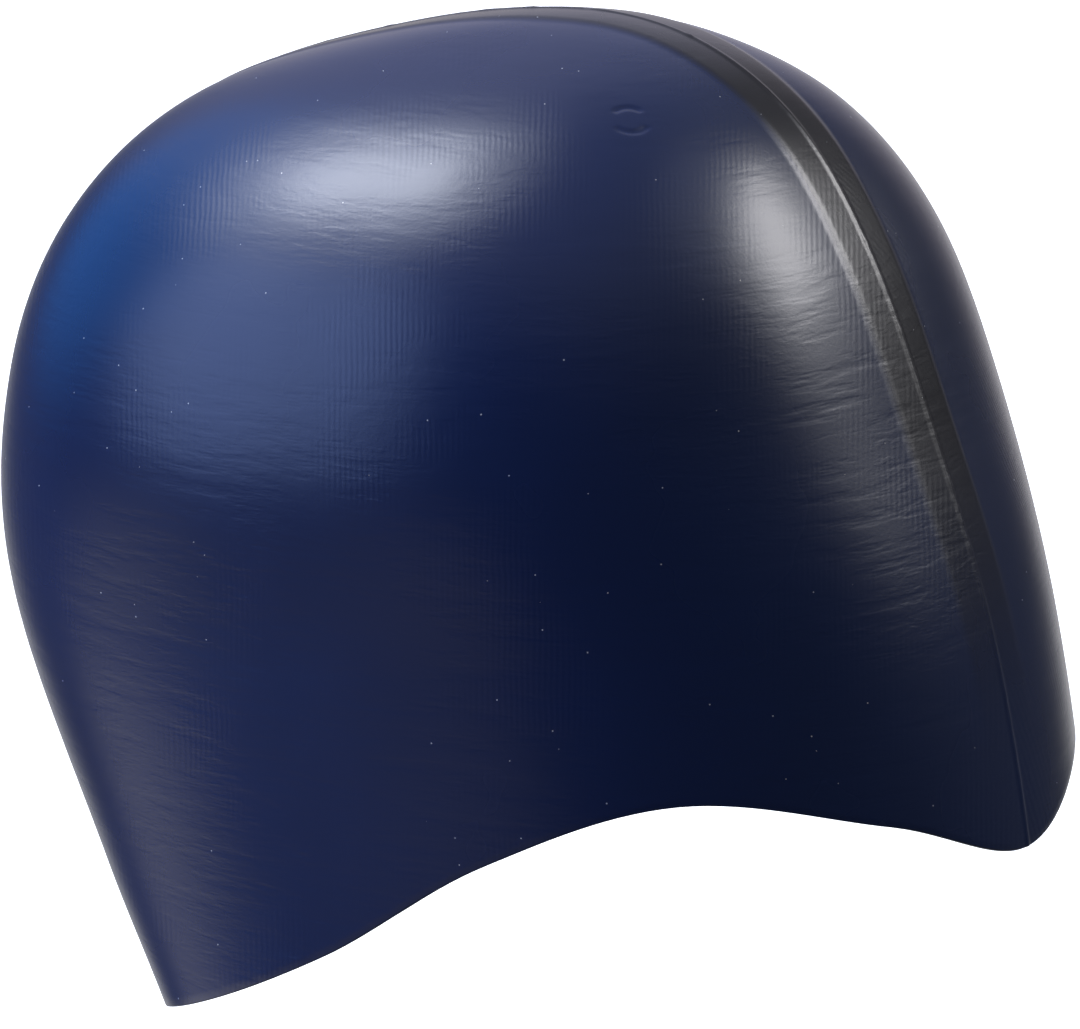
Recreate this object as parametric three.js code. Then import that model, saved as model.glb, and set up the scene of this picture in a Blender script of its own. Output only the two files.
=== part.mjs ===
import * as THREE from "three";

// Swim cap of moulded silicone in one piece, in the form that it takes on an adult head.
// Millimetres, +Z up. The forehead is at -Y and the wearer's right is at -X, and the cap is
// alike on both sides of the middle plane X = 0. The origin is the top of the inside of the
// crown, where the head carries the cap.

// Head form that the outside follows. Reaches are measured from the axis through the crown.
const frontReach = 91; // to the forehead where it stands out most
const backReach = 108; // to the back of the head where it stands out most
const halfWidth = 79.5; // to the side of the head, at the last row of the section table
const widestSetback = 10; // how far the widest place lies behind the axis, halfway down
const formHeight = 184; // from the crown down to the last row of the section table
const fullness = 2.35; // 2 makes each level round or oval, more makes it squarer

// Rim, measured down from the top of the form
const foreheadDepth = 137; // middle of the front
const templeDepth = 120.5; // highest place, above the eyes' outer corners
const napeDepth = 178; // middle of the back, the lowest place

// Sheet of silicone
const wall = 1;

// Thick band over the crown, from the forehead to the back of the head. It rises in one soft
// step at each edge and then as a low gable to the moulding's parting line in the middle plane.
const bandHalfWidth = 8.5;
const stepRise = 0.7;
const stepRun = 3; // width of the slope that the step stands on
const stepTop = bandHalfWidth - stepRun / 2;
const stepFoot = bandHalfWidth + stepRun / 2;
const gableRise = 0.6; // from the top of the step to the parting line
const bandFullDepth = 60; // above this depth the band has its whole height
const bandEndDepth = 125; // below this depth only the parting line is left
const partingRise = 0.2; // the fine ridge that the parting line leaves down to the rim
const partingHalfWidth = 1;

// Fineness of the mesh
const levelCount = 24; // rings from the crown to the rim
const sideColumns = 11; // columns from the band to the middle of one side
const bearingPasses = 8; // rounds that settle the bearing of a column beside the band

// Level sections of the head form. A row's level is the square root of its depth's share of
// formHeight, which sets the rows close together under the crown. The other columns are
// shares of frontReach, backReach, halfWidth and widestSetback.
const sections = [
  { level: 0.0, front: 0.0, back: 0.0, side: 0.0, setback: 0.0 },
  { level: 0.15, front: 0.245, back: 0.32, side: 0.27, setback: 0.3 },
  { level: 0.3, front: 0.45, back: 0.675, side: 0.58, setback: 0.6 },
  { level: 0.45, front: 0.605, back: 0.885, side: 0.83, setback: 0.85 },
  { level: 0.6, front: 0.74, back: 0.99, side: 0.95, setback: 1.0 },
  { level: 0.75, front: 0.885, back: 0.985, side: 0.96, setback: 0.85 },
  { level: 0.9, front: 0.98, back: 0.755, side: 0.97, setback: 0.35 },
  { level: 1.0, front: 1.0, back: 0.48, side: 1.0, setback: 0.0 },
];

// Line of the rim, by bearing in degrees from the middle of the forehead. The first share
// leads from templeDepth to foreheadDepth and the second from templeDepth to napeDepth.
const rimLine = [
  { bearing: 0, forehead: 1.0, nape: 0.0 },
  { bearing: 22, forehead: 0.38, nape: 0.0 },
  { bearing: 45, forehead: 0.0, nape: 0.0 },
  { bearing: 68, forehead: 0.0, nape: 0.2 },
  { bearing: 92, forehead: 0.0, nape: 0.54 },
  { bearing: 120, forehead: 0.0, nape: 0.825 },
  { bearing: 150, forehead: 0.0, nape: 0.975 },
  { bearing: 180, forehead: 0.0, nape: 1.0 },
];

// A smooth curve through one column of a table. Its ends are level where levelEnds is true,
// and otherwise follow the first and last rows and run on straight.
function tableCurve(rows, along, column, levelEnds) {
  const last = rows.length - 1;
  const rise = (a, b) => (rows[b][column] - rows[a][column]) / (rows[b][along] - rows[a][along]);
  const slopes = rows.map((row, i) => {
    if (i > 0 && i < last) return rise(i - 1, i + 1);
    if (levelEnds) return 0;
    return i === 0 ? rise(0, 1) : rise(last - 1, last);
  });
  return (at) => {
    if (at >= rows[last][along]) return rows[last][column] + slopes[last] * (at - rows[last][along]);
    let i = 0;
    while (at > rows[i + 1][along]) i += 1;
    const span = rows[i + 1][along] - rows[i][along];
    const u = (at - rows[i][along]) / span;
    return (
      (2 * u ** 3 - 3 * u ** 2 + 1) * rows[i][column] +
      (u ** 3 - 2 * u ** 2 + u) * span * slopes[i] +
      (3 * u ** 2 - 2 * u ** 3) * rows[i + 1][column] +
      (u ** 3 - u ** 2) * span * slopes[i + 1]
    );
  };
}

const frontShare = tableCurve(sections, "level", "front", false);
const backShare = tableCurve(sections, "level", "back", false);
const sideShare = tableCurve(sections, "level", "side", false);
const setbackShare = tableCurve(sections, "level", "setback", false);
const foreheadShare = tableCurve(rimLine, "bearing", "forehead", true);
const napeShare = tableCurve(rimLine, "bearing", "nape", true);

const smoothStep = (from, to, at) => THREE.MathUtils.smoothstep(at, from, to);

// Place of a level's centre along Y
const centreAt = (level) => widestSetback * setbackShare(level);

// Distance of the form from a level's centre, at a bearing in radians from the forehead
function formReach(bearing, level) {
  const front = frontReach * frontShare(level) + centreAt(level);
  const back = backReach * backShare(level) - centreAt(level);
  const across = halfWidth * sideShare(level);
  const along = (front + back) / 2 + ((front - back) / 2) * Math.cos(bearing);
  const sum =
    Math.abs(Math.cos(bearing) / along) ** fullness + Math.abs(Math.sin(bearing) / across) ** fullness;
  return sum ** (-1 / fullness);
}

function formPoint(bearing, level) {
  const height = wall - formHeight * level ** 2;
  if (level === 0) return new THREE.Vector3(0, 0, height);
  const reach = formReach(bearing, level);
  return new THREE.Vector3(-Math.sin(bearing) * reach, centreAt(level) - Math.cos(bearing) * reach, height);
}

// Direction straight out of the form, from two short steps along it
function formNormal(bearing, level) {
  if (level === 0) return new THREE.Vector3(0, 0, 1);
  const nudge = 0.001;
  const down = formPoint(bearing, level + nudge).sub(formPoint(bearing, level - nudge));
  const around = formPoint(bearing + nudge, level).sub(formPoint(bearing - nudge, level));
  return around.cross(down).normalize();
}

// Level at which the rim lies under a bearing
function rimLevel(bearing) {
  const degrees = THREE.MathUtils.radToDeg(Math.abs(bearing));
  const depth =
    templeDepth +
    (foreheadDepth - templeDepth) * foreheadShare(degrees) +
    (napeDepth - templeDepth) * napeShare(degrees);
  return Math.sqrt(depth / formHeight);
}

// Height of the band and the parting line over the form, by distance from the middle plane
function bandHeight(offset, depth) {
  const share = 1 - smoothStep(bandFullDepth, bandEndDepth, depth);
  const step = stepRise * (1 - smoothStep(stepTop, stepFoot, offset));
  const gable = gableRise * Math.max(0, 1 - offset / bandHalfWidth);
  const parting = partingRise * Math.max(0, 1 - offset / partingHalfWidth);
  return Math.max(share * (step + gable), parting);
}

// Bearing, from the end of the middle plane that is nearer, at which the form is a given
// distance from that plane. Close to the crown the columns fan out evenly instead.
function bearingAtOffset(offset, limit, level, atBack) {
  let bearing = 0;
  for (let i = 0; i < bearingPasses; i += 1) {
    const reach = formReach(atBack ? Math.PI - bearing : bearing, level);
    bearing = Math.asin(Math.min(1, offset / reach));
  }
  return Math.min(bearing, limit);
}

// Bearings of one quarter's columns, from the middle plane to the middle of the side. The
// first ones stay on the lines of the band, and the others share what is left evenly.
function quarterBearings(level, atBack) {
  const lines = [0, partingHalfWidth, bandHalfWidth / 2, stepTop, stepFoot];
  const fan = Math.PI / 2 / (lines.length + sideColumns - 1);
  const bearings = lines.map((offset, i) => bearingAtOffset(offset, i * fan, level, atBack));
  const first = bearings[bearings.length - 1];
  for (let i = 1; i <= sideColumns; i += 1) {
    bearings.push(first + ((Math.PI / 2 - first) * i) / sideColumns);
  }
  return bearings;
}

// Bearings of a whole ring: the wearer's right side from front to back, then the left side
function ringBearings(level) {
  const front = quarterBearings(level, false);
  const back = quarterBearings(level, true).reverse().map((bearing) => Math.PI - bearing);
  const right = [...front, ...back.slice(1)];
  const left = right.slice(1, -1).reverse().map((bearing) => -bearing);
  return [...right, ...left];
}

// Rows of points from the crown to the rim, for the outside and the inside of the sheet
function sheetRows() {
  const outside = [];
  const inside = [];
  for (let i = 1; i <= levelCount; i += 1) {
    const share = i / levelCount;
    const bearings = ringBearings(share * Math.sqrt(templeDepth / formHeight));
    outside.push([]);
    inside.push([]);
    for (const bearing of bearings) {
      const level = share * rimLevel(bearing);
      const point = formPoint(bearing, level);
      const normal = formNormal(bearing, level);
      const height = bandHeight(Math.abs(point.x), wall - point.z);
      outside[i - 1].push(point.clone().addScaledVector(normal, height));
      inside[i - 1].push(point.clone().addScaledVector(normal, -wall));
    }
  }
  return { outside, inside };
}

// Closed body: the outside and the inside fan out from the crown and meet at the rim
function capGeometry() {
  const { outside, inside } = sheetRows();
  const positions = [];
  const triangles = [];
  const addPoint = (point) => positions.push(point.x, point.y, point.z) / 3 - 1;
  const addSide = (rows, crown, flip) => {
    const turn = (a, b, c) => triangles.push(...(flip ? [a, c, b] : [a, b, c]));
    const top = addPoint(crown);
    const rings = rows.map((row) => row.map(addPoint));
    rings.forEach((ring, i) => {
      ring.forEach((corner, j) => {
        const next = ring[(j + 1) % ring.length];
        if (i === 0) {
          turn(top, next, corner);
          return;
        }
        const above = rings[i - 1][j];
        const aboveNext = rings[i - 1][(j + 1) % ring.length];
        turn(above, aboveNext, corner);
        turn(aboveNext, next, corner);
      });
    });
    return rings[rings.length - 1];
  };
  const crownHeight = bandHeight(0, 0);
  const outerRim = addSide(outside, new THREE.Vector3(0, 0, wall + crownHeight), false);
  const innerRim = addSide(inside, new THREE.Vector3(0, 0, 0), true);
  outerRim.forEach((corner, j) => {
    const k = (j + 1) % outerRim.length;
    triangles.push(corner, outerRim[k], innerRim[j]);
    triangles.push(outerRim[k], innerRim[k], innerRim[j]);
  });
  const geometry = new THREE.BufferGeometry();
  geometry.setAttribute("position", new THREE.Float32BufferAttribute(positions, 3));
  geometry.setIndex(triangles);
  geometry.computeVertexNormals();
  return geometry;
}

const silicone = new THREE.MeshStandardMaterial({ color: 0x16264f, roughness: 0.42, metalness: 0 });

const capShell = new THREE.Mesh(capGeometry(), silicone);
capShell.name = "cap_shell";

const group = new THREE.Group();
group.add(capShell);

export default group;
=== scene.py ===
import math
from functools import lru_cache

import bmesh
import bpy
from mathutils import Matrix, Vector, noise


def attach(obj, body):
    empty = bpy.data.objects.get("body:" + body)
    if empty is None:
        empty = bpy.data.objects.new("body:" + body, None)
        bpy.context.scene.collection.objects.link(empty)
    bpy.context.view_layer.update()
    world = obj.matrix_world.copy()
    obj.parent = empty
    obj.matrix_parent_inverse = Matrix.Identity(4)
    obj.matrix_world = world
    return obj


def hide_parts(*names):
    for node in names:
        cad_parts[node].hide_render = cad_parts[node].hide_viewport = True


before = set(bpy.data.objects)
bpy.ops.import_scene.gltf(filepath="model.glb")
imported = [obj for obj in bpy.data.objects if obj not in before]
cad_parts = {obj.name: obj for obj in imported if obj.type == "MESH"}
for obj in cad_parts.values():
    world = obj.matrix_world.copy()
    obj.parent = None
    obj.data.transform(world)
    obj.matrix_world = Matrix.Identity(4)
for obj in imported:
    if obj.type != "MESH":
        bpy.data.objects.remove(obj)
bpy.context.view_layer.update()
print("frame loaded:", ", ".join(sorted(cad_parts)))

# The head form that the cap is stretched over, in metres, as in the CAD model
form = {
    "frontReach": 0.091,
    "backReach": 0.108,
    "halfWidth": 0.0795,
    "widestSetback": 0.010,
    "height": 0.184,
    "fullness": 2.35,
    "wall": 0.001,
}
rim = {
    "foreheadDepth": 0.137,
    "templeDepth": 0.1205,
    "napeDepth": 0.178,
    "rounding": 0.0003,
    "roundingSteps": 2,
}
# Shares of the reaches, by level: the square root of the depth's share of the height
sections = {
    "level": (0.0, 0.15, 0.3, 0.45, 0.6, 0.75, 0.9, 1.0),
    "front": (0.0, 0.245, 0.45, 0.605, 0.74, 0.885, 0.98, 1.0),
    "back": (0.0, 0.32, 0.675, 0.885, 0.99, 0.985, 0.755, 0.48),
    "side": (0.0, 0.27, 0.58, 0.83, 0.95, 0.96, 0.97, 1.0),
    "setback": (0.0, 0.3, 0.6, 0.85, 1.0, 0.85, 0.35, 0.0),
}
# Bearing in degrees from the forehead, and how far the rim drops from the temple's depth
rimLine = {
    "bearing": (0, 22, 45, 68, 92, 120, 150, 180),
    "forehead": (1.0, 0.38, 0.0, 0.0, 0.0, 0.0, 0.0, 0.0),
    "nape": (0.0, 0.0, 0.0, 0.2, 0.54, 0.825, 0.975, 1.0),
}
band = {
    "halfWidth": 0.0085,
    "stepRise": 0.00030,
    "stepRun": 0.0026,
    "gableRise": 0.00022,
    "fullDepth": 0.060,
    "endDepth": 0.125,
    "partingRise": 0.00020,
    "partingHalfWidth": 0.0008,
    "flashRise": 0.00012,      # stray bits along the parting line
    "flashPitch": 0.0021,
    "flashGap": 0.15,          # noise below this leaves no stray bit
    "flashGain": 2,
}
mouldMark = {
    "place": (-0.0313, -0.0267, -0.0120),
    "radius": 0.0031,
    "width": 0.0011,
    "depth": 0.0002,
    "arcFrom": 0.45,           # where its arcs start, as a share of the way up the ring
    "arcFull": 0.8,
    "reach": 0.0065,           # how far round it the mesh is made finer
    "cuts": 3,
}
mesh = {
    "columns": 300,
    "outerRings": 180,
    "innerRings": 60,
    "bandZone": 0.0106,        # half width of the strip where columns run beside the band
    "bandColumns": 0.3,        # share of a quarter's columns that lie in that strip
    "bearingPasses": 8,        # rounds that settle a column's bearing
}


def tableCurve(table, along, column, levelEnds=False):
    at, value = table[along], table[column]
    last = len(at) - 1

    def rise(a, b):
        return (value[b] - value[a]) / (at[b] - at[a])

    slopes = [rise(i - 1, i + 1) for i in range(1, last)]
    slopes = [0 if levelEnds else rise(0, 1)] + slopes + [0 if levelEnds else rise(last - 1, last)]

    def curve(x):
        if x >= at[last]:
            return value[last] + slopes[last] * (x - at[last])
        i = max(j for j in range(last) if x >= at[j])
        span = at[i + 1] - at[i]
        u = (x - at[i]) / span
        return (
            (2 * u**3 - 3 * u**2 + 1) * value[i]
            + (u**3 - 2 * u**2 + u) * span * slopes[i]
            + (3 * u**2 - 2 * u**3) * value[i + 1]
            + (u**3 - u**2) * span * slopes[i + 1]
        )

    return curve


sectionCurves = {name: tableCurve(sections, "level", name) for name in sections if name != "level"}
rimCurves = {name: tableCurve(rimLine, "bearing", name, True) for name in ("forehead", "nape")}


def smoothStep(low, high, x):
    u = min(max((x - low) / (high - low), 0), 1)
    return u * u * (3 - 2 * u)


@lru_cache(maxsize=None)
def sectionAt(level):
    centre = form["widestSetback"] * sectionCurves["setback"](level)
    front = form["frontReach"] * sectionCurves["front"](level) + centre
    back = form["backReach"] * sectionCurves["back"](level) - centre
    return centre, front, back, form["halfWidth"] * sectionCurves["side"](level)


def formReach(bearing, level):
    _, front, back, side = sectionAt(level)
    along = (front + back) / 2 + (front - back) / 2 * math.cos(bearing)
    power = form["fullness"]
    return (abs(math.cos(bearing) / along) ** power + abs(math.sin(bearing) / side) ** power) ** (-1 / power)


def formPoint(bearing, level):
    height = form["wall"] - form["height"] * level**2
    if level == 0:
        return Vector((0, 0, height))
    reach = formReach(bearing, level)
    return Vector((-math.sin(bearing) * reach, sectionAt(level)[0] - math.cos(bearing) * reach, height))


def rimLevel(bearing):
    degrees = math.degrees(abs(bearing))
    depth = (
        rim["templeDepth"]
        + (rim["foreheadDepth"] - rim["templeDepth"]) * rimCurves["forehead"](degrees)
        + (rim["napeDepth"] - rim["templeDepth"]) * rimCurves["nape"](degrees)
    )
    return math.sqrt(depth / form["height"])


@lru_cache(maxsize=None)
def bearingBeside(offset, share, atBack):
    # bearing from the middle plane's nearer end at which the form is that far from the plane
    level = share * rimLevel(math.pi if atBack else 0)
    bearing = 0
    for _ in range(mesh["bearingPasses"]):
        reach = formReach(math.pi - bearing if atBack else bearing, level)
        bearing = math.asin(min(1, offset / reach))
    return bearing


def columnBearing(turn, share):
    # turn is the disc's own angle, 0 at the forehead; columns draw together beside the band
    atBack = abs(turn) > math.pi / 2
    quarter = (math.pi - abs(turn) if atBack else abs(turn)) / (math.pi / 2)
    inBand = min(quarter / mesh["bandColumns"], 1)
    limit = min(quarter, mesh["bandColumns"]) * math.pi / 2
    offset = round(mesh["bandZone"] * inBand, 8)
    bearing = min(bearingBeside(offset, round(share, 6), atBack), limit)
    beyond = max(0, (quarter - mesh["bandColumns"]) / (1 - mesh["bandColumns"]))
    bearing += (math.pi / 2 - bearing) * beyond
    return math.copysign(math.pi - bearing if atBack else bearing, turn)


def bandShare(point):
    # 1 on top of the band, falling to 0 down its edges and where it ends above the rim
    depth = form["wall"] - point.z
    lengthwise = 1 - smoothStep(band["fullDepth"], band["endDepth"], depth)
    half, run = band["halfWidth"], band["stepRun"] / 2
    return lengthwise * (1 - smoothStep(half - run, half + run, abs(point.x)))


def bandHeight(point):
    offset, half = abs(point.x), band["halfWidth"]
    share = 1 - smoothStep(band["fullDepth"], band["endDepth"], form["wall"] - point.z)
    gable = band["gableRise"] * max(0, 1 - offset / half)
    ridge = max(0, 1 - offset / band["partingHalfWidth"])
    along = Vector((point.y, point.z, 0)) / band["flashPitch"]
    flash = band["flashRise"] * max(0, noise.noise(along) - band["flashGap"]) * band["flashGain"]
    return band["stepRise"] * bandShare(point) + share * gable + ridge * (band["partingRise"] + flash)


markPlace = Vector(mouldMark["place"])


def markDent(point, normal):
    # two short arcs of one small ring, above and below
    away = point - markPlace
    if away.length > mouldMark["reach"]:
        return 0
    across = Vector((0, 0, 1)).cross(normal).normalized()
    upward = normal.cross(across)
    x, y = away.dot(across), away.dot(upward)
    radius = math.hypot(x, y)
    ring = max(0, 1 - abs(radius - mouldMark["radius"]) / mouldMark["width"])
    arc = smoothStep(mouldMark["arcFrom"], mouldMark["arcFull"], abs(y) / max(radius, 1e-6))
    return mouldMark["depth"] * ring * ring * (3 - 2 * ring) * arc


def flatDisc(rings, columns):
    # one spoke of rings, spun round into a disc of unit radius
    disc = bmesh.new()
    tip = bmesh.ops.create_vert(disc, co=(0, 0, 0))["vert"][0]
    for ring in range(1, rings + 1):
        grown = bmesh.ops.extrude_vert_indiv(disc, verts=[tip])
        tip = grown["verts"][0]
        tip.co = (0, -ring / rings, 0)
    bmesh.ops.spin(
        disc, geom=disc.verts[:] + disc.edges[:], cent=(0, 0, 0), axis=(0, 0, 1),
        angle=2 * math.pi, steps=columns, use_merge=True,
    )
    bmesh.ops.remove_doubles(disc, verts=disc.verts[:], dist=1e-6)
    return disc


def drapeDisc(disc):
    for vert in disc.verts:
        share = min(math.hypot(vert.co.x, vert.co.y), 1)
        turn = math.atan2(-vert.co.x, -vert.co.y)
        if share < 1e-6:
            vert.co = formPoint(0, 0)
            continue
        bearing = columnBearing(turn, share)
        vert.co = formPoint(bearing, share * rimLevel(bearing))
    disc.normal_update()
    if sum(face.normal.z for face in disc.faces) < 0:
        bmesh.ops.reverse_faces(disc, faces=disc.faces[:])
        disc.normal_update()


def refineMark(disc):
    near = [e for e in disc.edges if max((v.co - markPlace).length for v in e.verts) < mouldMark["reach"]]
    bmesh.ops.subdivide_edges(disc, edges=near, cuts=mouldMark["cuts"], smooth=1, use_grid_fill=True)
    disc.normal_update()


def buildCap():
    outer = flatDisc(mesh["outerRings"], mesh["columns"])
    drapeDisc(outer)
    refineMark(outer)
    onBand = outer.verts.layers.float.new("on_band")
    for vert in outer.verts:
        vert[onBand] = bandShare(vert.co)
    heights = [bandHeight(v.co) - markDent(v.co, v.normal) for v in outer.verts]
    normals = [v.normal.copy() for v in outer.verts]
    for vert, height, normal in zip(outer.verts, heights, normals):
        vert.co += normal * height
    print("outside shaped:", len(outer.verts), "points")

    inner = flatDisc(mesh["innerRings"], mesh["columns"])
    drapeDisc(inner)
    normals = [v.normal.copy() for v in inner.verts]
    for vert, normal in zip(inner.verts, normals):
        vert.co -= normal * form["wall"]
    bmesh.ops.reverse_faces(inner, faces=inner.faces[:])
    for face in inner.faces:
        face.material_index = 1
    print("inside shaped:", len(inner.verts), "points")

    lining = bpy.data.meshes.new("lining")
    inner.to_mesh(lining)
    inner.free()
    outer.from_mesh(lining)
    bpy.data.meshes.remove(lining)
    openEdges = [e for e in outer.edges if e.is_boundary]
    bridge = bmesh.ops.bridge_loops(outer, edges=openEdges)
    lips = [e for e in openEdges if e.is_valid]
    bmesh.ops.bevel(
        outer, geom=lips, offset=rim["rounding"], segments=rim["roundingSteps"],
        affect="EDGES", profile=0.5, material=-1,
    )
    print("rim closed:", len(bridge["faces"]), "faces")

    capMesh = bpy.data.meshes.new("cap_silicone")
    outer.to_mesh(capMesh)
    outer.free()
    capMesh.polygons.foreach_set("use_smooth", [True] * len(capMesh.polygons))
    cap = bpy.data.objects.new("cap_silicone", capMesh)
    bpy.context.scene.collection.objects.link(cap)
    return cap


class Value:
    # wraps one socket, so that shader maths reads as an expression
    def __init__(self, finish, socket):
        self.finish = finish
        self.socket = socket

    def combine(self, operation, first, second):
        return self.finish.node("ShaderNodeMath", {"operation": operation}, {0: first, 1: second})

    def __add__(self, other):
        return self.combine("ADD", self, other)

    def __radd__(self, other):
        return self.combine("ADD", other, self)

    def __sub__(self, other):
        return self.combine("SUBTRACT", self, other)

    def __rsub__(self, other):
        return self.combine("SUBTRACT", other, self)

    def __mul__(self, other):
        return self.combine("MULTIPLY", self, other)

    def __rmul__(self, other):
        return self.combine("MULTIPLY", other, self)

    def __gt__(self, other):
        return self.combine("GREATER_THAN", self, other)

    def __lt__(self, other):
        return self.combine("LESS_THAN", self, other)


class Finish:
    def __init__(self, tree):
        self.tree = tree
        tree.nodes.clear()

    def node(self, kind, settings=None, inputs=None, output=0):
        made = self.tree.nodes.new(kind)
        for name, setting in (settings or {}).items():
            setattr(made, name, setting)
        for name, value in (inputs or {}).items():
            if isinstance(value, Value):
                self.tree.links.new(value.socket, made.inputs[name])
            else:
                made.inputs[name].default_value = value
        return Value(self, made.outputs[output]) if len(made.outputs) else made

    def ramp(self, value, low, high):
        # 0 below low, 1 above high, and smooth between them
        return self.node(
            "ShaderNodeMapRange", {"interpolation_type": "SMOOTHSTEP"},
            {"Value": value, "From Min": low, "From Max": high},
        )

    def mixColour(self, factor, first, second):
        settings = {"data_type": "RGBA"}
        return self.node("ShaderNodeMix", settings, {0: factor, 6: first, 7: second}, 2)

    def noise(self, vector, scale, detail=2.0, roughness=0.5):
        inputs = {"Vector": vector, "Scale": scale, "Detail": detail, "Roughness": roughness}
        return self.node("ShaderNodeTexNoise", {}, inputs)


# Pattern of the moulded surface. Scales are per metre. A patch holds the scale and the detail
# of a noise, and the two values between which it grows from none to all.
pattern = {
    "streakLean": 0.6,
    "streakWander": 0.0011,
    "wanderScale": 110,
    "streakPatch": (55, 3.0, 0.42, 0.62),
    "dashScale": (260, 260, 1100),
    "dashEdge": (0.48, 0.7),
    "dashPatch": (40, 2.0, 0.4, 0.62),
    "creaseSlant": 28,
    "creaseScale": (40, 45, 300),
    "creaseRoughness": 0.6,
    "creaseEdge": (0.42, 0.68),
    "pitScale": 420.0,
    "pitPatch": (25, 2.0, 0.45, 0.65),
    "grainScale": 1600,
    "dustScale": 400.0,
    "dustSize": 0.05,
    "dustFrom": 0.8,           # cells above this share hold a dot
    "dustColour": (0.55, 0.56, 0.58, 1),
    "shadePatch": (14, 3.0, 0.35, 0.7),
    "roughnessScale": 30,
    "sheenRoughness": 0.4,
    "sheenTint": (1, 0.97, 0.93, 1),
}
# What the silicone looks like outside and inside; lengths in metres
outsideLook = {
    "colour": (0.0018, 0.0135, 0.070, 1),
    "shade": (0.0016, 0.0115, 0.059, 1),
    # painted shade: the band's colour is darker and greyer than the cap, for the band catching less of the
    # lamps' light
    "bandShadeColour": (0.0030, 0.0036, 0.0110, 1),
    "roughness": 0.27,
    "roughnessSpread": 0.03,
    "ior": 1.43,
    "sheen": 0.03,
    "streakPitch": 0.0011,     # upright streaks left by the mould
    "streakStrength": 0.08,
    "dashStrength": 0.16,
    "creaseStrength": 0.40,
    "pitStrength": 0.18,
    "grainStrength": 0.18,
    "specks": 1.0,
    "relief": 0.00006,
}
insideLook = {
    "colour": (0.0018, 0.0135, 0.070, 1),
    "shade": (0.0016, 0.0115, 0.059, 1),
    # the same as the colour, so no painted shade on the band inside
    "bandShadeColour": (0.0018, 0.0135, 0.070, 1),
    "roughness": 0.55,
    "roughnessSpread": 0.08,
    "ior": 1.43,
    "sheen": 0.1,
    "streakPitch": 0.0011,
    "streakStrength": 0.1,
    "dashStrength": 0.2,
    "creaseStrength": 0.3,
    "pitStrength": 0.3,
    "grainStrength": 0.3,
    "specks": 0.4,
    "relief": 0.00006,
}


def siliconeFinish(name, look):
    material = bpy.data.materials.new(name)
    material.use_nodes = True
    paint = Finish(material.node_tree)
    place = paint.node("ShaderNodeTexCoord", output=3)

    def patch(name):
        scale, detail, none, full = pattern[name]
        return paint.ramp(paint.noise(place, scale, detail), none, full)

    # upright streaks in patches, alike on both sides of the middle plane
    parts = paint.node("ShaderNodeSeparateXYZ", {}, {0: place}).socket.node.outputs
    x, y = Value(paint, parts[0]), Value(paint, parts[1])
    aside = paint.node("ShaderNodeMath", {"operation": "ABSOLUTE"}, {0: x})
    wander = paint.noise(place, pattern["wanderScale"]) * pattern["streakWander"]
    turns = (y + aside * pattern["streakLean"] + wander) * (2 * math.pi / look["streakPitch"])
    streaks = paint.node("ShaderNodeMath", {"operation": "SINE"}, {0: turns}) * patch("streakPatch")

    # short level dashes, and soft creases that slant over the side
    flat = paint.node("ShaderNodeMapping", {}, {"Vector": place, "Scale": pattern["dashScale"]})
    dashes = paint.ramp(paint.noise(flat, 1.0), *pattern["dashEdge"]) * patch("dashPatch")
    turned = (math.radians(pattern["creaseSlant"]), 0, 0)
    slant = paint.node(
        "ShaderNodeMapping", {}, {"Vector": place, "Rotation": turned, "Scale": pattern["creaseScale"]},
    )
    creaseNoise = paint.noise(slant, 1.0, 3.0, pattern["creaseRoughness"])
    creases = paint.ramp(creaseNoise, *pattern["creaseEdge"])

    # leathery pits and the finest grain
    pits = paint.node(
        "ShaderNodeTexVoronoi", {"feature": "F1"}, {"Vector": place, "Scale": pattern["pitScale"]},
    )
    grain = paint.noise(place, pattern["grainScale"])

    height = (
        streaks * look["streakStrength"]
        + dashes * look["dashStrength"]
        - creases * look["creaseStrength"]
        + pits * patch("pitPatch") * look["pitStrength"]
        + grain * look["grainStrength"]
    )
    bump = paint.node("ShaderNodeBump", {}, {"Height": height, "Strength": 1.0, "Distance": look["relief"]})

    # dust: sparse pale dots, each in a cell of its own
    dust = paint.node(
        "ShaderNodeTexVoronoi", {"feature": "F1"}, {"Vector": place, "Scale": pattern["dustScale"]},
    )
    dustKind = Value(paint, dust.socket.node.outputs["Color"])
    dustPick = paint.node("ShaderNodeSeparateColor", {}, {0: dustKind})
    dots = (dust < pattern["dustSize"]) * (dustPick > pattern["dustFrom"]) * look["specks"]

    colour = paint.mixColour(patch("shadePatch"), look["shade"], look["colour"])
    onBand = paint.node("ShaderNodeAttribute", {"attribute_name": "on_band"}, {}, 2)
    # painted shade: the band strip is given a darker, greyer colour where it catches less of the lamps' light
    colour = paint.mixColour(onBand, colour, look["bandShadeColour"])
    colour = paint.mixColour(dots, colour, pattern["dustColour"])
    spread = look["roughnessSpread"]
    cloud = paint.noise(place, pattern["roughnessScale"], 3.0)
    rough = cloud * (2 * spread) + (look["roughness"] - spread)

    shader = paint.node(
        "ShaderNodeBsdfPrincipled", {},
        {
            "Base Color": colour, "Roughness": rough, "IOR": look["ior"], "Normal": bump,
            "Sheen Weight": look["sheen"], "Sheen Roughness": pattern["sheenRoughness"],
            "Sheen Tint": pattern["sheenTint"],
        },
    )
    paint.node("ShaderNodeOutputMaterial", {}, {"Surface": shader})
    return material


cap = buildCap()
cap.data.materials.append(siliconeFinish("silicone_outside", outsideLook))
cap.data.materials.append(siliconeFinish("silicone_inside", insideLook))
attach(cap, "root")
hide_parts("cap_shell")
print("cap finished:", len(cap.data.polygons), "faces")

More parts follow.
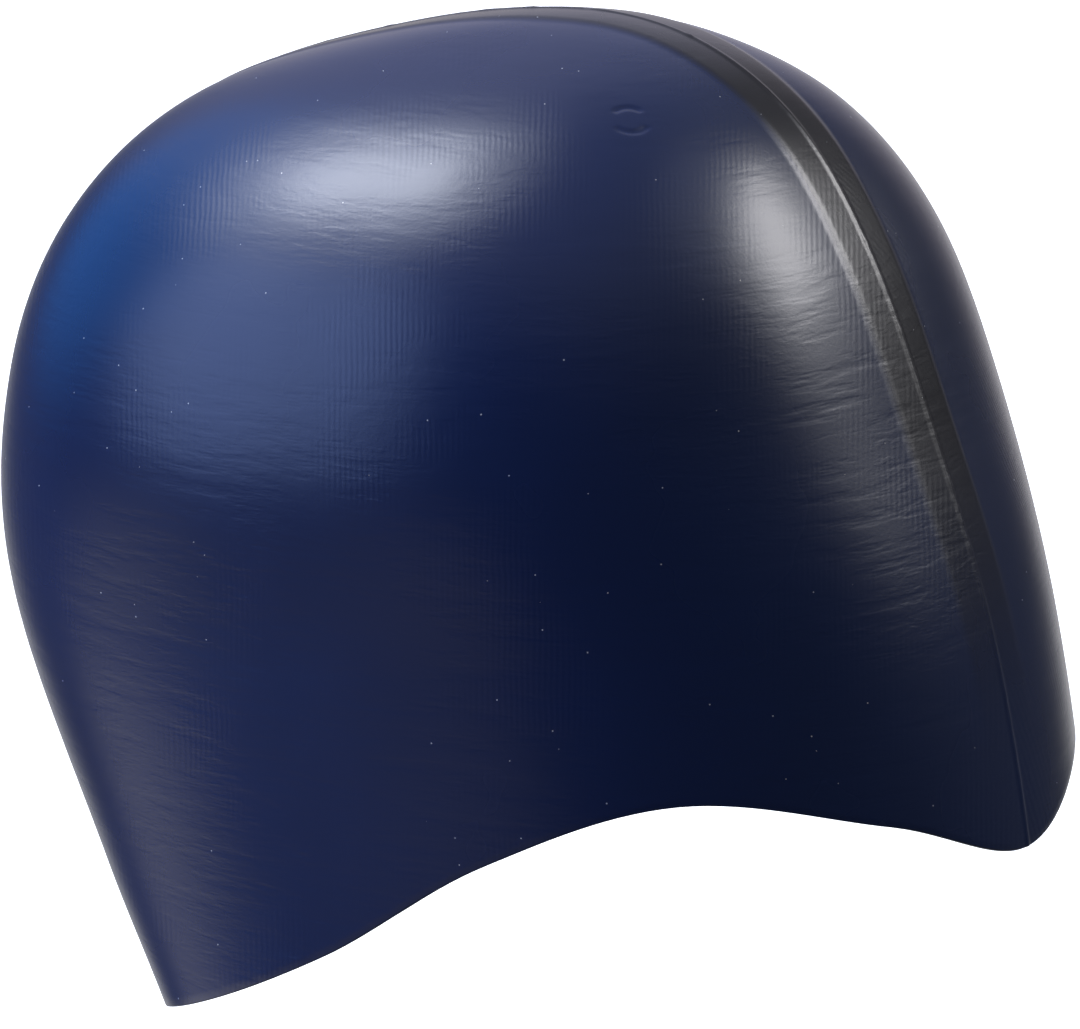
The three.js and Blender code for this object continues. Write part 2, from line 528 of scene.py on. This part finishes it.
# The photo's view and a bright studio: white behind the cap, dark behind the camera
photo = {
    "azimuth": -58.67,
    "elevation": 12.1,
    "distance": 1.0,
    "aim": (-0.0044, 0.0072, -0.0879),
    "focal": 5671,             # in pixels of a picture 1080 wide
    "width": 1080,
    "sensor": 36,
}
studio = {
    "floorHeight": -0.27,
    "floorSize": 12,
    "lampDistance": 2.5,
    "wall": (0.09, 0.09, 0.09),   # what the cap mirrors where there is no lamp
    "ceiling": (0.35, 0.35, 0.35),
    "ceilingFrom": 0.3,        # heights of direction between which the ceiling comes in
    "ceilingFull": 0.95,
    "floorColour": (0.8, 0.8, 0.8, 1),
    "floorRoughness": 0.9,
    "floorGlow": 0.9,
}
# Lamps, placed by degrees to the right of the camera and up; size in degrees, brightness per area.
# One that doesn't fill is only mirrored.
softboxes = {
    "crown_light": {
        "turn": -112, "up": 57, "size": (16, 16), "fills": True,
        "brightness": 12, "colour": (0.93, 0.98, 1.09),
    },
    "brow_light": {
        "turn": 104, "up": 31, "size": (17, 17), "fills": False,
        "brightness": 9, "colour": (1.01, 0.99, 1),
    },
}
# Glow round the lamps, a bluish window and the white table: where, how far in degrees, how bright
glows = {
    "crown_halo": {"turn": -112, "up": 57, "core": 5, "reach": 25, "colour": (3.0, 3.2, 3.6)},
    "crown_tail": {"turn": -95, "up": 43, "core": 4, "reach": 20, "colour": (1.0, 1.2, 1.7)},
    "brow_halo": {"turn": 104, "up": 31, "core": 6, "reach": 21, "colour": (2.9, 2.9, 2.95)},
    "brow_top": {"turn": 90, "up": 50, "core": 4, "reach": 22, "colour": (0.6, 0.65, 0.9)},
    "brow_tail": {"turn": 116, "up": 20, "core": 3, "reach": 12, "colour": (0.8, 0.8, 0.85)},
    "side_window": {"turn": -77, "up": 20, "core": 3, "reach": 31, "colour": (1.9, 2.6, 4.7)},
    "back_window": {"turn": -125, "up": 25, "core": 10, "reach": 32, "colour": (0.05, 0.45, 1.5)},
    "table_left": {"turn": -97, "up": -38, "core": 8, "reach": 31, "colour": (1.4, 1.35, 1.3)},
    "table_front": {"turn": -45, "up": -30, "core": 5, "reach": 30, "colour": (0.42, 0.4, 0.42)},
    "table_behind": {"turn": 175, "up": -30, "core": 12, "reach": 42, "colour": (0.75, 0.75, 0.75)},
    "wall_behind": {"turn": -172, "up": 35, "core": 8, "reach": 34, "colour": (0.33, 0.34, 0.48)},
    "wall_right": {"turn": 168, "up": 8, "core": 5, "reach": 28, "colour": (0.45, 0.41, 0.45)},
}


def directionFrom(azimuth, elevation):
    a, e = math.radians(azimuth), math.radians(elevation)
    return Vector((math.sin(a) * math.cos(e), -math.cos(a) * math.cos(e), math.sin(e)))


def pointAt(thing, place, target):
    thing.location = place
    thing.rotation_euler = (Vector(target) - Vector(place)).to_track_quat("-Z", "Y").to_euler()
    bpy.context.scene.collection.objects.link(thing)


towardsCamera = directionFrom(photo["azimuth"], photo["elevation"])
aim = Vector(photo["aim"])
lens = bpy.data.cameras.new("photo_view")
lens.sensor_width = photo["sensor"]
lens.lens = photo["focal"] / photo["width"] * photo["sensor"]
camera = bpy.data.objects.new("photo_view", lens)
pointAt(camera, aim + towardsCamera * photo["distance"], aim)
bpy.context.scene.camera = camera

for name, box in softboxes.items():
    lamp = bpy.data.lights.new(name, "AREA")
    lamp.shape = "RECTANGLE"
    lamp.size, lamp.size_y = (2 * studio["lampDistance"] * math.tan(math.radians(s / 2)) for s in box["size"])
    lamp.energy = math.pi * lamp.size * lamp.size_y * box["brightness"]
    lamp.color = box["colour"]
    light = bpy.data.objects.new(name, lamp)
    light.visible_diffuse = box["fills"]
    towards = directionFrom(photo["azimuth"] + box["turn"], box["up"])
    pointAt(light, aim + towards * studio["lampDistance"], aim)

world = bpy.data.worlds.new("studio")
bpy.context.scene.world = world
world.use_nodes = True
sky = Finish(world.node_tree)
direction = sky.node("ShaderNodeTexCoord", output=0)
height = sky.node("ShaderNodeSeparateXYZ", {}, {0: direction}, 2)


def shine(amount, colour):
    return sky.node("ShaderNodeVectorMath", {"operation": "SCALE"}, {0: colour, "Scale": amount})


def addLight(first, second):
    return sky.node("ShaderNodeVectorMath", {"operation": "ADD"}, {0: first, 1: second})


overhead = sky.ramp(height, studio["ceilingFrom"], studio["ceilingFull"])
glow = addLight(shine(overhead, studio["ceiling"]), studio["wall"])
for patch in glows.values():
    inputs = {0: direction, 1: tuple(directionFrom(photo["azimuth"] + patch["turn"], patch["up"]))}
    facing = sky.node("ShaderNodeVectorMath", {"operation": "DOT_PRODUCT"}, inputs, 1)
    edge, core = (math.cos(math.radians(patch[name])) for name in ("reach", "core"))
    glow = addLight(glow, shine(sky.ramp(facing, edge, core), patch["colour"]))
seen = sky.node("ShaderNodeLightPath", output=0)
shown = sky.mixColour(seen, glow, (1, 1, 1, 1))
background = sky.node("ShaderNodeBackground", {}, {"Color": shown, "Strength": 1.0})
sky.node("ShaderNodeOutputWorld", {}, {"Surface": background})

floorShape = bmesh.new()
bmesh.ops.create_grid(floorShape, x_segments=1, y_segments=1, size=studio["floorSize"] / 2)
bmesh.ops.translate(floorShape, verts=floorShape.verts[:], vec=(0, 0, studio["floorHeight"]))
floorMesh = bpy.data.meshes.new("studio_floor")
floorShape.to_mesh(floorMesh)
floorShape.free()
floor = bpy.data.objects.new("studio_floor", floorMesh)
bpy.context.scene.collection.objects.link(floor)
floor.visible_glossy = False   # the photo's cap mirrors no floor
floor.visible_diffuse = False
floorMaterial = bpy.data.materials.new("pale_floor")
floorMaterial.use_nodes = True
floorPaint = Finish(floorMaterial.node_tree)
floorShader = floorPaint.node(
    "ShaderNodeBsdfPrincipled", {},
    {
        "Base Color": studio["floorColour"], "Roughness": studio["floorRoughness"],
        "Emission Color": (1, 1, 1, 1), "Emission Strength": studio["floorGlow"],
    },
)
floorPaint.node("ShaderNodeOutputMaterial", {}, {"Surface": floorShader})
floorMesh.materials.append(floorMaterial)
bpy.context.scene.view_settings.view_transform = "Standard"
print("studio set")
